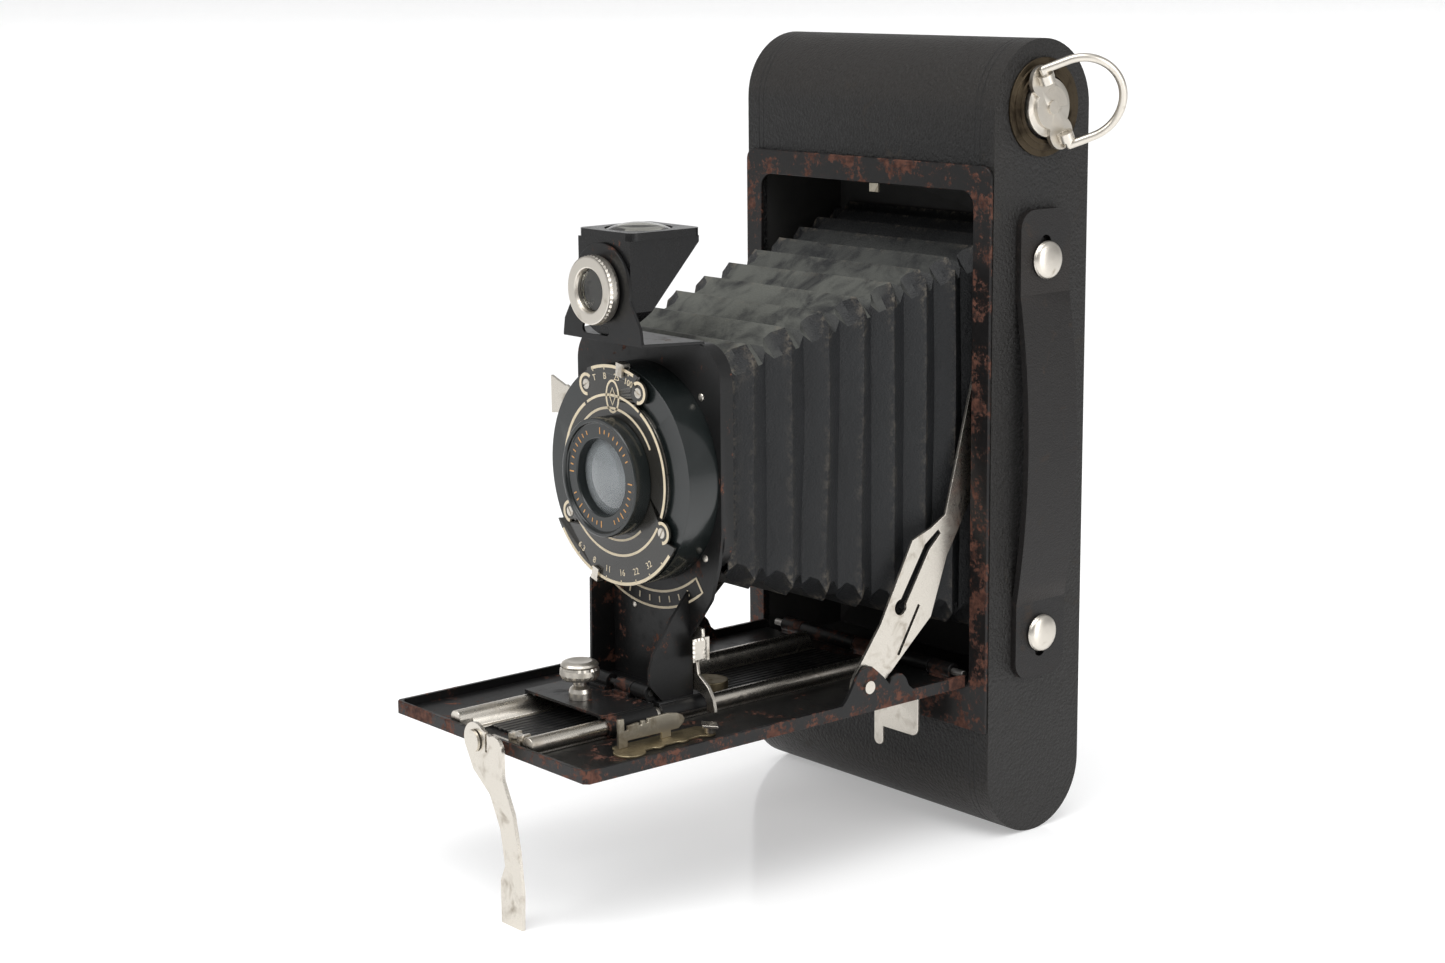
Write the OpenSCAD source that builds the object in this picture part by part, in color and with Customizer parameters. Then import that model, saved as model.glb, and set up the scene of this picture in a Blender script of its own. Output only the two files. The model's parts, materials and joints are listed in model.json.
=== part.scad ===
// Drop-bed folding roll-film camera, open for use, standing on its round lower end and its leg.
// +X is the winding-key and strap side, -Y is the lens side, +Z is up.
// The origin is the mouth of the tripod bush in the underside of the bed.

/* [Body] */
// Width of the body
body_w = 96; // [94:0.5:100]
// Depth of the leather-covered body, front to back
body_d = 35; // [34:0.5:38]
// Height of the body
body_h = 212; // [210:1:216]
// Thickness of the body's sheet metal
wall = 1.2; // [1:0.1:1.4]
// Height of the origin above the table
stand_h = 42; // [42:1:44]

/* [Front frame] */
// Distance from the origin back to the face of the front frame
front_y = 55; // [54:0.5:56]
// Height of the frame's lower edge
frame_z0 = -11.6; // [-13:0.1:-10]
// Height of the frame's upper edge
frame_z1 = 138.2; // [137:0.1:140]
// Half the width of the opening
opening_x = 41.5; // [41.5:0.1:42]
// Height of the opening's top edge
opening_top = 131.5; // [131:0.1:133]

/* [Bed] */
// Half the width of the bed
bed_x = 40.8; // [40:0.1:41]
// Position of the bed's front edge
bed_front = -71.7; // [-73:0.1:-70]
// Height of the bed's rim
rim_h = 3.3; // [3:0.1:4]
// Thickness of the bed's sheet metal
sheet = 1; // [0.8:0.1:1]

/* [Track] */
// Distance of each rail's bead from the middle
rail_x = 15.5; // [15:0.1:16]
// Radius of a rail's bead
bead_r = 2.1; // [2:0.1:2.2]
// Height of the middle of the beads
bead_z = 3.6; // [3.5:0.1:3.7]

/* [Shutter and lens] */
// Height of the lens axis
lens_z = 63; // [62:0.5:64]
// Radius of the shutter case
case_r = 28.3; // [28:0.1:28.5]
// Front face of the shutter's dial
dial_y = -30.5; // [-31:0.1:-30]
// Radius of the lens's front ring
ring_r = 15.2; // [15:0.1:15.5]
// Radius of the front glass
glass_r = 9.9; // [9:0.1:10]

/* [Bellows] */
// Number of folds in the bellows
folds = 13; // [10:1:16]
// Depth of a fold
fold_depth = 2.6; // [1:0.1:3]

/* [Key] */
// Radius of the key's escutcheon
escutcheon_r = 12.7; // [12:0.1:13]
// Angle of the key plate from upright
key_angle = 27; // [0:1:60]
// Angle at which the key's loop stands up from the plate
bail_raise = 50; // [30:1:60]

/* [Hidden] */

$fn = 64;
eps = 0.01;
run = 0.05; // running clearance of a pin in its hole
gap = 0.3; // air between parts that pass each other

frame_t = 1;
leather_y = front_y + frame_t;
end_r = body_d / 2;
mid_y = leather_y + end_r;
back_y = leather_y + body_d;
low_z = end_r - stand_h; // axis of the lower round end
high_z = body_h - end_r - stand_h; // axis of the upper round end
side_x = body_w / 2;
opening_z0 = -1;

gate_x = 42.8; // outer half width of the bellows chamber
gate_z0 = -4;
gate_z1 = 134.5;
film_y = back_y - 4.5;
gate_t = 1;
film_w = 64;
film_h = 108;
gate_mid_z = 65;
roller_r = 2.2;
roller_y = film_y - 1.6;
roller_z = [gate_z0 - 2.8, gate_z1 + 2.8];
axle_r = 1;

spool_half = 36;
flange_r = 12.4;
core_r = 5.4;
pin_r = 2.5;
shaft_r = 4;

hinge_y = front_y + 2;
hinge_z = 2.5;
hinge_pin_r = 1;
knuckle_r = 2.2;
rail_y1 = 48;

pivot_y = -31; // hinge between the carriage and the standard
pivot_z = 9;
pivot_pin_r = 0.8;
pivot_knuckle_r = 2;
carriage_y0 = -48;
carriage_y1 = -31.8;
carriage_z = 6.2;
carriage_t = 0.7;
sleeve_r = 3;
sleeve_bore = bead_r + 0.1;
base_top = carriage_z + carriage_t;

panel_y = -19.5; // front face of the standard's panel
panel_back = panel_y + 1;
panel_x = 29;
panel_z1 = 97.5;
foot_x = 16; // half width of the standard's channel
dial_t = 0.6;
case_front = dial_y + 1.6;
hub_r = 16.2; // sleeve on which the shutter's rings turn
ring_t = 0.3;
waist_r = 20.9; // radius of the dial beside the lens, and of the rings behind it
face_screw_at = [[25, 24.6], [-26, 24.6], [122, 22.4], [-123, 22.4]]; // angle and radius

finder_z = 110.5; // axis on which the finder turns
lug_y = -33.5;
lug_t = 0.8;
finder_y0 = lug_y + lug_t + gap;
finder_back = -10.5;
finder_top = 123;
finder_x = 10.5;
tube_r = 7;

rivet_y = 19.6; // pivots of the struts on the bed
rivet_z = 6.7;
strut_x = 38.7;
strut_t = 0.8;
rivet_r = 1.1;

bush_r = 5;
thread_r = 3.175; // quarter-inch tripod thread
bush_len = 4;
side_bush_z = 64;

strap_z = [1.5, 126.5];
strap_w = 18.4;
strap_t = 1.8;
stud_z = [13.6, 113.3];
strap_mid = (stud_z[0] + stud_z[1]) / 2;
strap_half = 41; // half length of the bowed stretch
strap_rise = 3.6;
strap_arc = (strap_half * strap_half + strap_rise * strap_rise) / (2 * strap_rise);

leg_y = bed_front - 2.4;
leg_t = 1;
leg_z = 2.5;
foot_y = 48.4; // hinge of the side foot
foot_z = -1.2;
foot_x0 = 12.6;
foot_w = 17;
key_x = side_x + 1.6;
bail_x = key_x + 3.05; // axis of the key's loop
loop_r = 11;
loop_leg = 6.5;
wire_r = 1.1;

// ---------- helpers ----------

// A cylinder along X from x0 to x1
module rod_x(x0, x1, r) {
    translate([x0, 0, 0]) rotate([0, 90, 0]) cylinder(h = x1 - x0, r = r);
}

// A cylinder along Y from y0 to y1
module rod_y(y0, y1, r) {
    translate([0, y0, 0]) rotate([-90, 0, 0]) cylinder(h = y1 - y0, r = r);
}

// A box between two corners
module block(low, high) {
    translate(low) cube(high - low);
}

// A flat outline in X and Z, made y0 to y1 thick
module plate_xz(y0, y1) {
    translate([0, y1, 0]) rotate([90, 0, 0]) linear_extrude(height = y1 - y0) children();
}

// A flat outline in Y and Z, made x0 to x1 thick
module plate_yz(x0, x1) {
    translate([x0, 0, 0]) rotate([90, 0, 90]) linear_extrude(height = x1 - x0) children();
}

// The outline of a box with round corners, between two corners
module round_box(low, high, r) {
    for (x = [low[0] + r, high[0] - r], y = [low[1] + r, high[1] - r])
        translate([x, y]) circle(r = r);
    translate([low[0] + r, low[1]]) square([high[0] - low[0] - 2 * r, high[1] - low[1]]);
    translate([low[0], low[1] + r]) square([high[0] - low[0], high[1] - low[1] - 2 * r]);
}

// The body's round-ended outline, drawn in from the outside by inset
module stadium(inset, x0, x1) {
    for (z = [low_z, high_z])
        translate([0, mid_y, z]) rod_x(x0, x1, end_r - inset);
    block([x0, leather_y + inset, low_z], [x1, back_y - inset, high_z]);
}

// A copy on each side of the middle
module both_sides() {
    children();
    mirror([1, 0, 0]) children();
}

// ---------- body ----------

module body_case() {
    color("#1c1b1a") difference() {
        stadium(0, -side_x, side_x);
        stadium(wall, wall - side_x, side_x - wall);
        block([-opening_x, leather_y - 1, opening_z0], [opening_x, mid_y, opening_top]);
        block([wall - side_x, mid_y, -stand_h - 1], [side_x - wall, back_y + 1, body_h - stand_h + 1]);
        translate([0, mid_y, high_z]) {
            rod_x(side_x - wall - 1, side_x + 1, shaft_r + run);
            rod_x(-side_x - 1, wall - side_x + 1, pin_r + run);
        }
        translate([0, mid_y, low_z]) rod_x(-side_x - 1, wall - side_x + 1, pin_r + run);
        translate([0, mid_y, side_bush_z]) rod_x(-side_x - 1, wall - side_x + 1, bush_r);
    }
}

module film_gate() {
    inner_x = gate_x - gate_t;
    color("#141414") difference() {
        block([-gate_x, leather_y + wall + eps, gate_z0], [gate_x, film_y, gate_z1]);
        block([-inner_x, leather_y, gate_z0 + gate_t], [inner_x, film_y - gate_t, gate_z1 - gate_t]);
        block(
            [-film_w / 2, film_y - 2, gate_mid_z - film_h / 2],
            [film_w / 2, film_y + 1, gate_mid_z + film_h / 2]
        );
    }
}

module front_frame() {
    frame_x = side_x - 0.3;
    color("#2a1d18") {
        difference() {
            plate_xz(front_y, leather_y) {
                round_box([-frame_x, frame_z0], [frame_x, frame_z1], 3);
                translate([-frame_x, frame_z0]) square([2 * frame_x, 5]);
            }
            plate_xz(front_y - 1, leather_y + 1)
                round_box([-opening_x, opening_z0], [opening_x, opening_top], 4);
        }
        for (x = [-30, 0, 30]) hinge_leaf(x);
    }
}

// One fixed knuckle of the bed's hinge, with the web that carries it
module hinge_leaf(x) {
    difference() {
        union() {
            translate([0, hinge_y, hinge_z]) rod_x(x - 4, x + 4, knuckle_r);
            block([x - 4, front_y + 0.2, opening_z0], [x + 4, hinge_y, hinge_z - 1.2]);
        }
        translate([0, hinge_y, hinge_z]) rod_x(x - 5, x + 5, hinge_pin_r);
    }
}

module latch_post() {
    color("#cfc8ba") block([2.5, front_y + 0.1, opening_top - 2.4], [5.9, leather_y - 0.1, opening_top]);
}

// The pins fixed inside the body: roller axles, the supply spool's stub and the struts' guide studs
module inner_axles() {
    color("#9a9a96") {
        for (z = roller_z)
            translate([0, roller_y, z]) rod_x(wall - side_x, side_x - wall, axle_r);
        translate([0, mid_y, low_z]) {
            rod_x(spool_half - 4, side_x - wall, pin_r);
            rod_x(side_x - wall - 8, side_x - wall, 6);
        }
        both_sides() translate([0, front_y + 8, 88])
            rod_x(strut_x + strut_t + gap, gate_x - gate_t, 1.2);
    }
}

module film_roller(z) {
    color("#b8b4aa") translate([0, roller_y, z]) difference() {
        rod_x(-spool_half - 2, spool_half + 2, roller_r);
        rod_x(-spool_half - 3, spool_half + 3, axle_r + run);
    }
}

module film_roller_top() {
    film_roller(roller_z[1]);
}

module film_roller_bottom() {
    film_roller(roller_z[0]);
}

module bed_hinge_pin() {
    color("#8f8a80") translate([0, hinge_y, hinge_z]) rod_x(-38, 38, hinge_pin_r);
}

module key_escutcheon() {
    color("#6b6250") translate([0, mid_y, high_z]) difference() {
        union() {
            rod_x(side_x, side_x + 0.6, escutcheon_r);
            rod_x(side_x, side_x + 1, escutcheon_r - 1.6);
            rod_x(side_x, side_x + 1.4, escutcheon_r - 3.2);
        }
        rod_x(side_x - 1, side_x + 2, 8.3);
    }
}

module strap() {
    color("#211a17") difference() {
        union() {
            difference() {
                intersection() {
                    translate([side_x + strap_rise - strap_arc, mid_y - strap_w / 2, strap_mid])
                        rod_y(0, strap_w, strap_arc + strap_t, $fn = 128);
                    block(
                        [side_x, mid_y - strap_w / 2, strap_mid - strap_half],
                        [side_x + 9, mid_y + strap_w / 2, strap_mid + strap_half]
                    );
                }
                translate([side_x + strap_rise - strap_arc, mid_y - strap_w, strap_mid])
                    rod_y(0, 2 * strap_w, strap_arc, $fn = 128);
            }
            plate_yz(side_x, side_x + strap_t) {
                round_box([mid_y - strap_w / 2, strap_z[0]], [mid_y + strap_w / 2, 24], 5);
                round_box([mid_y - strap_w / 2, 103], [mid_y + strap_w / 2, strap_z[1]], 5);
                translate([mid_y - strap_w / 2, 18]) square([strap_w, 6.5]);
                translate([mid_y - strap_w / 2, 102.5]) square([strap_w, 5.5]);
            }
        }
        for (z = stud_z, s = [0, 1])
            translate([0, mid_y, z + s * sign(z - strap_mid) * 4.6])
                rod_x(side_x - 1, side_x + 4, s == 0 ? 2.6 : 1.9);
    }
}

module strap_studs() {
    color("#cfc8ba") for (z = stud_z) translate([0, mid_y, z]) {
        rod_x(side_x, side_x + strap_t + 0.3, 1.6);
        rod_x(side_x + strap_t + 0.2, side_x + strap_t + 0.9, 5);
        translate([side_x + strap_t + 0.9, 0, 0]) rotate([0, 90, 0]) cylinder(h = 0.8, r1 = 5, r2 = 3);
    }
}

// A tripod bush along Z, its mouth at the bottom
module tripod_bush() {
    color("#b8a878") difference() {
        cylinder(h = bush_len, r = bush_r);
        translate([0, 0, -1]) cylinder(h = bush_len, r = thread_r);
    }
}

module side_tripod_bush() {
    translate([-side_x, mid_y, side_bush_z]) rotate([0, 90, 0]) tripod_bush();
}

// ---------- removable back ----------

module back_cover() {
    clear_x = side_x - wall - 0.15;
    color("#1c1b1a") difference() {
        stadium(0, -clear_x, clear_x);
        stadium(wall, -side_x, side_x);
        block([-side_x, leather_y - 1, -stand_h - 1], [side_x, mid_y + 0.1, body_h]);
        translate([0, 0, 38]) rod_y(back_y - 3, back_y + 1, 5);
    }
}

module red_window() {
    color("#7a1410") translate([0, 0, 38]) rod_y(back_y - wall, back_y - 0.5, 5);
}

module pressure_plate() {
    color("#2a2a2a") {
        block([-34, film_y + 0.8, 8], [34, film_y + 1.4, 122]);
        for (z = [25, 105])
            block([-12, film_y + 1.4, z - 3], [12, back_y - wall, z + 3]);
    }
}

// ---------- film transport ----------

// A film spool along X: a hollow core between two flanges
module spool(bore_right) {
    difference() {
        union() {
            rod_x(-spool_half, spool_half, core_r);
            rod_x(-spool_half, 1.2 - spool_half, flange_r);
            rod_x(spool_half - 1.2, spool_half, flange_r);
        }
        rod_x(-spool_half - 1, 5 - spool_half, pin_r + run);
        if (bore_right) rod_x(spool_half - 5, spool_half + 1, pin_r + run);
    }
}

module takeup_spool() {
    color("#5a1f18") translate([0, mid_y, high_z]) spool(false);
}

module supply_spool() {
    color("#5a1f18") translate([0, mid_y, low_z]) spool(true);
}

module spool_pin(z) {
    color("#b8b4aa") translate([0, mid_y, z]) {
        rod_x(-side_x - 1, 4 - spool_half, pin_r);
        rod_x(-side_x - 4, -side_x - gap, 5.5);
        rod_x(-side_x - 5, -side_x - 4, 4.6);
    }
}

module spool_pin_top() {
    spool_pin(high_z);
}

module spool_pin_bottom() {
    spool_pin(low_z);
}

module winding_key() {
    color("#cfc8ba") translate([0, mid_y, high_z]) rotate([key_angle, 0, 0]) difference() {
        union() {
            rod_x(spool_half, key_x, shaft_r);
            rod_x(side_x + 0.3, key_x + 0.6, 7.6);
            plate_yz(key_x + 0.6, key_x + 1.8) {
                for (z = [-7.5, 7.5]) translate([0, z]) circle(r = 4.2);
                translate([-3, -8]) square([6, 16]);
                circle(r = 5.6);
            }
            rod_x(key_x + 1.8, key_x + 2.5, 1.8);
            for (z = [-9.6, 7.2]) translate([bail_x, 0, z]) cylinder(h = 2.4, r = wire_r + 0.95);
        }
        for (z = [-13, 6.8]) translate([bail_x, 0, z]) cylinder(h = 6.2, r = wire_r + run);
    }
}

module key_bail() {
    color("#d8d2c6") translate([0, mid_y, high_z]) rotate([key_angle, 0, 0])
        translate([bail_x, 0, 0]) rotate([0, 0, bail_raise]) {
            translate([loop_leg, 0, 0]) rotate([90, 0, 0]) rotate([0, 0, -90])
                rotate_extrude(angle = 180) translate([loop_r, 0]) circle(r = wire_r, $fn = 24);
            for (z = [-loop_r, loop_r]) translate([0, 0, z]) {
                rod_x(0, loop_leg, wire_r);
                sphere(r = wire_r);
            }
            for (z = [-loop_r, 7.5]) translate([0, 0, z]) cylinder(h = loop_r - 7.5, r = wire_r);
        }
}

// ---------- bed ----------

module bed_tray() {
    chamfer = 1.2;
    color("#26201d") difference() {
        union() {
            difference() {
                linear_extrude(height = rim_h) bed_outline(0, chamfer);
                translate([0, 0, sheet]) linear_extrude(height = rim_h) bed_outline(sheet, chamfer);
                block([-bed_x + sheet, hinge_y - 9, sheet], [bed_x - sheet, hinge_y + 5, rim_h + 1]);
            }
            both_sides() plate_yz(bed_x - sheet, bed_x) polygon([
                [9, 2], [11.5, 4], [13.6, 7], [15.4, 10.2], [16.8, 11.6], [18.8, 12.3], [20.6, 12],
                [22.4, 10.6], [24.9, 8.4], [27, 6.1], [28.2, 7.8], [29.8, 8.5], [31.6, 8], [32.8, 6.8],
                [33.8, 4.6], [37, 2],
            ]);
            for (x = [-15, 15]) translate([0, hinge_y, hinge_z]) rod_x(x - 10.8, x + 10.8, knuckle_r);
        }
        translate([0, hinge_y, hinge_z]) rod_x(-side_x, side_x, hinge_pin_r + run);
        for (x = [-30, 0, 30])
            block([x - 4.2, hinge_y - 3.2, -1], [x + 4.2, hinge_y + 3, rim_h + 1]);
        for (x = [-1, 1])
            block([x * 37.6 - 3.8, hinge_y - 2.5, -1], [x * 37.6 + 3.8, hinge_y + 3, rim_h + 3]);
        both_sides() translate([0, rivet_y, rivet_z]) rod_x(bed_x - 2, bed_x + 2, rivet_r);
        cylinder(h = 3 * sheet, r = bush_r, center = true);
    }
}

// The bed's outline, drawn in from the outside by inset, open at the hinge
module bed_outline(inset, chamfer) {
    x = bed_x - inset;
    y0 = bed_front + inset;
    polygon([
        [-x, hinge_y], [-x, y0 + chamfer], [chamfer - x, y0],
        [x - chamfer, y0], [x, y0 + chamfer], [x, hinge_y],
    ]);
}

module track_rails() {
    color("#b8b2a6") both_sides() difference() {
        union() {
            translate([rail_x, bed_front + 1.5, bead_z])
                rotate([-90, 0, 0]) cylinder(h = rail_y1 - bed_front - 1.5, r = bead_r);
            translate([0, rail_y1, 0]) rotate([90, 0, 0]) linear_extrude(height = rail_y1 - bed_front - 1.5)
                polygon([
                    [10.6, sheet], [16.4, sheet], [16.4, 2], [rail_x - 1.2, bead_z + 1.4],
                    [rail_x - 2, bead_z + 0.6], [12.2, 1.6], [10.6, 1.6],
                ]);
        }
        block([10, bed_front, sheet - 1], [13.2, bed_front + 5, 6]);
    }
}

module track_strip() {
    color("#101010") difference() {
        block([-10.4, bed_front + 9, sheet], [10.4, rail_y1, sheet + 0.7]);
        cylinder(h = 5, r = bush_r);
    }
}

// The struts' rivets, and the pin of the side foot with its two lugs
module bed_pins() {
    color("#cfc8ba") {
        both_sides() translate([0, rivet_y, rivet_z]) {
            rod_x(strut_x - 0.5, bed_x, rivet_r);
            rod_x(bed_x, bed_x + 0.5, 1.7);
        }
        translate([0, foot_y, foot_z]) rod_x(foot_x0 - 1.2, foot_x0 + foot_w + 1.2, 0.6);
        for (x = [foot_x0 - 1.2, foot_x0 + foot_w + 0.4])
            block([x, foot_y - 0.8, foot_z - 0.6], [x + 0.8, foot_y + 0.8, 0]);
    }
}

module scale_base() {
    color("#8a7f55") translate([0, 0, sheet]) linear_extrude(height = 0.6) {
        round_box([24.5, -52], [31.5, -24], 1.5);
        translate([30.5, -50.5]) circle(r = 4);
        translate([30, -26.5]) circle(r = 2.8);
        translate([30, -42]) circle(r = 2.4);
        translate([30, -34.5]) circle(r = 2.4);
    }
}

module scale_plate() {
    color("#a89f88") plate_yz(26.6, 27.4) polygon([
        [-51.4, 1.6], [-48.6, 1.6], [-48.6, 3.2], [-38, 3.2], [-38, 1.6], [-35, 1.6], [-35, 3.2],
        [-32.6, 3.2], [-31, 4.4], [-30.6, 5.4], [-31.2, 6.4], [-33, 7.3], [-36, 7.8], [-42.2, 7.6],
        [-42.2, 6.6], [-43, 6.6], [-43, 7.4], [-44.2, 7.4], [-44.2, 6.4], [-45, 6.4], [-45, 7.2],
        [-48.4, 6.9], [-48.4, 5.8], [-49.6, 5.8], [-49.6, 9], [-51.4, 9],
    ]);
}

module scale_lever() {
    color("#cfc8ba") {
        translate([31.5, -26, sheet + 0.7]) cylinder(h = 1.6, r = 1.3);
        translate([31.5, -26, sheet + 2.3]) linear_extrude(height = 0.7)
            polygon([[-3.4, 0], [0, -2.4], [3.4, 0], [0, 2.4]]);
    }
}

module leg_bracket() {
    color("#b8b2a6") {
        block([-3, bed_front + 1 + eps, sheet], [12.6, bed_front + 4.6, sheet + 0.8]);
        for (x = [8.2, 11.8])
            block([x, bed_front + 1 + eps, sheet], [x + 0.8, bed_front + 4.6, 5.4]);
        translate([0, bed_front + 2.9, 4.2]) rod_x(7.4, 13, 1.2);
        translate([0, 0, leg_z]) {
            rod_y(leg_y - leg_t - 0.5, bed_front, 1.6);
            rod_y(leg_y - leg_t - 1, leg_y - leg_t - 0.3, 2.8);
        }
    }
}

module stand_leg() {
    color("#d2cbbd") difference() {
        plate_xz(leg_y - leg_t, leg_y) {
            translate([0, leg_z]) circle(r = 4.6);
            translate([8, 1.8]) circle(r = 3.4);
            polygon([
                [-4.4, 1], [-1, -5], [5.9, -10], [10, -18], [11.6, -27], [9.6, -31], [9.6, -42],
                [18.2, -42], [18.6, -32], [17.4, -22], [15.4, -13], [11.4, -5], [11.3, 3], [0, 7],
            ]);
        }
        translate([0, 0, leg_z]) rod_y(leg_y - 3, leg_y + 1, 1.6 + run);
        block([4.4, leg_y - 3, 0.5], [5.2, leg_y + 1, 8]);
    }
}

module side_foot() {
    color("#bdb6a6") difference() {
        union() {
            translate([0, foot_y, foot_z]) rod_x(foot_x0, foot_x0 + foot_w, 1.1);
            plate_xz(foot_y - 0.4, foot_y + 0.4) {
                translate([foot_x0, -12]) square([foot_w, 11]);
                round_box([foot_x0, -15], [foot_x0 + foot_w, -9], 2.4);
                round_box([foot_x0, -20.4], [foot_x0 + 3.4, -10], 1.6);
            }
        }
        translate([0, foot_y, foot_z]) rod_x(foot_x0 - 1, foot_x0 + foot_w + 1, 0.6 + run);
    }
}

module bed_tripod_bush() {
    tripod_bush();
}

// The strut plate's outline in Y and Z
module strut_outline() {
    difference() {
        union() {
            translate([rivet_y, rivet_z]) circle(r = 5);
            polygon([
                [rivet_y - 4.2, 9.5], [24.9, 22], [36.2, 42.6], [42.6, 44.8], [48, 47.7], [51.2, 59],
                [57, 80], [61, 97], [65, 97], [64, 80], [57, 50], [48.6, 36.7], [42.9, 21.2],
                [35.6, 15], [rivet_y + 4.6, 5],
            ]);
        }
        translate([32, 25.5]) circle(r = 2.1);
        polygon([[31, 26], [33, 24.6], [42.2, 39.2], [46.4, 43], [45.4, 44.2], [40.6, 40.9]]);
        polygon([[38.2, 25.4], [39, 24.9], [31.6, 12.6], [30.8, 13.1]]);
        translate([rivet_y, rivet_z]) circle(r = rivet_r + run);
    }
}

module strut_right() {
    color("#d2cbbd") plate_yz(strut_x, strut_x + strut_t) strut_outline();
}

module strut_left() {
    mirror([1, 0, 0]) strut_right();
}

// ---------- carriage ----------

// A sleeve over each rail's bead from y0 to y1, reaching down to low_z on the outer side
module rail_sleeves(y0, y1, low_z) {
    both_sides() difference() {
        translate([rail_x, 0, bead_z]) rod_y(y0, y1, sleeve_r);
        translate([rail_x, 0, bead_z]) rod_y(y0 - 1, y1 + 1, sleeve_bore);
        block([0, y0 - 1, 0], [rail_x + 1.2, y1 + 1, bead_z]);
        block([0, y0 - 1, 0], [rail_x + 5, y1 + 1, low_z]);
        block([0, y0 - 1, 0], [rail_x - 1.2, y1 + 1, bead_z + 1.7]);
    }
}

module carriage_plate() {
    plate_x = rail_x + 1;
    color("#241c1a") difference() {
        union() {
            block([-plate_x, carriage_y0, carriage_z], [plate_x, carriage_y1, carriage_z + carriage_t]);
            rail_sleeves(carriage_y0 + 1, carriage_y1, sheet + 0.3);
            both_sides() translate([0, pivot_y, pivot_z]) rod_x(1.6, 8, pivot_knuckle_r);
            both_sides() block(
                [1.6, pivot_y - 2.6, carriage_z], [8, pivot_y, pivot_z - pivot_pin_r - 0.2]
            );
        }
        translate([0, pivot_y, pivot_z]) rod_x(-20, 20, pivot_pin_r);
        translate([0, -42.5, 0]) cylinder(h = 20, r = 2 + run);
    }
}

module carriage_hinge_pin() {
    color("#4a4038") translate([0, pivot_y, pivot_z]) rod_x(-14.4, 14.4, pivot_pin_r);
}

module carriage_knob() {
    color("#d8d2c6") translate([0, -42.5, carriage_z + carriage_t]) {
        translate([0, 0, -1.6]) cylinder(h = 8, r = 2);
        translate([0, 0, run]) cylinder(h = 1.4, r = 3.2);
        translate([0, 0, 4.6]) cylinder(h = 4, r = 5.1);
        intersection() {
            translate([0, 0, -1]) sphere(r = 11, $fn = 128);
            translate([0, 0, 8.6]) cylinder(h = 2, r = 4.5);
        }
    }
}

// ---------- standard ----------

module standard_panel() {
    color("#1e1a18") difference() {
        union() {
            plate_xz(panel_y, panel_back) {
                round_box([-panel_x, 42], [panel_x, panel_z1], 9);
                polygon([
                    [-foot_x, base_top], [foot_x, base_top], [foot_x, 22], [24.6, 33], [27.6, 42],
                    [panel_x, 50], [-panel_x, 50], [-27.6, 42], [-24.6, 33], [-foot_x, 22],
                ]);
            }
            plate_yz(foot_x - 0.9, foot_x) polygon([
                [panel_back, base_top], [-28.6, base_top], [-32.6, 11.5], [-32.5, 15.3], [-31.2, 19.4],
                [-27.8, 23.7], [-25.1, 27.7], [panel_y, 34], [panel_back, 35],
            ]);
            plate_yz(-foot_x, 0.9 - foot_x) polygon([
                [panel_back, base_top], [-27.2, base_top], [-26.8, 33], [-25.8, 34.2],
                [panel_y, 36], [panel_back, 36],
            ]);
            difference() {
                plate_xz(panel_back, panel_back + 3) round_box([-panel_x, 40], [panel_x, panel_z1], 9);
                plate_xz(panel_back - 1, panel_back + 4)
                    round_box([1 - panel_x, 41], [panel_x - 1, panel_z1 - 1], 8);
            }
        }
        translate([0, 0, lens_z]) rod_y(panel_y - 1, panel_back + 1, 14);
    }
}

module standard_base() {
    plate_x = rail_x + 1;
    y0 = pivot_y + 0.9;
    color("#241c1a") difference() {
        union() {
            block([-plate_x, y0, carriage_z], [plate_x, -15.5, base_top]);
            rail_sleeves(y0, -15.5, bead_z);
            both_sides() translate([0, pivot_y, pivot_z]) rod_x(8.3, 14.3, pivot_knuckle_r);
            both_sides() block([8.3, y0, carriage_z], [14.3, y0 + 1.6, pivot_z - pivot_pin_r - 0.2]);
        }
        translate([0, pivot_y, pivot_z]) rod_x(-20, 20, pivot_pin_r + run);
    }
}

module shutter_case() {
    color("#0d100f") translate([0, 0, lens_z]) difference() {
        rod_y(case_front, panel_y, case_r);
        rod_y(case_front + 0.7, panel_y - 0.8, case_r - 1.2);
        rod_y(case_front - 1, panel_y + 1, ring_r - 1.1);
        rotate([0, 28, 0]) block([-case_r - 1, -24.7, -10.8], [-20, -23.3, 4.6]);
    }
    color("#0d100f") translate([0, 0, lens_z]) difference() {
        rod_y(dial_y + dial_t, case_front, hub_r - run);
        rod_y(dial_y - 1, case_front + 1, ring_r - 1.1);
    }
}

// The dial: a waist round the lens, a lobe above and a wider one below, and an ear round each screw
module shutter_face() {
    color("#151515") translate([0, 0, lens_z]) difference() {
        union() {
            rod_y(dial_y, dial_y + dial_t, waist_r);
            intersection() {
                rod_y(dial_y, dial_y + dial_t, case_r);
                plate_xz(dial_y - 1, dial_y + 1)
                    polygon([[-10.5, 26], [-8, 12], [8, 12], [10.5, 26], [8, 40], [-8, 40]]);
            }
            intersection() {
                rod_y(dial_y, dial_y + dial_t, case_r);
                plate_xz(dial_y - 1, dial_y + 1)
                    polygon([[0, 0], [-20, -14], [-30, -16], [-30, -40], [30, -40], [30, -16], [20, -14]]);
            }
            for (s = face_screw_at) rotate([0, s[0], 0]) translate([0, 0, s[1]])
                rod_y(dial_y, dial_y + dial_t, 3);
        }
        rod_y(dial_y - 1, dial_y + 2, ring_r - 1.1);
        for (s = face_screw_at) rotate([0, s[0], 0]) translate([0, 0, s[1]])
            rod_y(dial_y - 1, dial_y + dial_t - 0.1, 1.3);
    }
}

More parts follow.
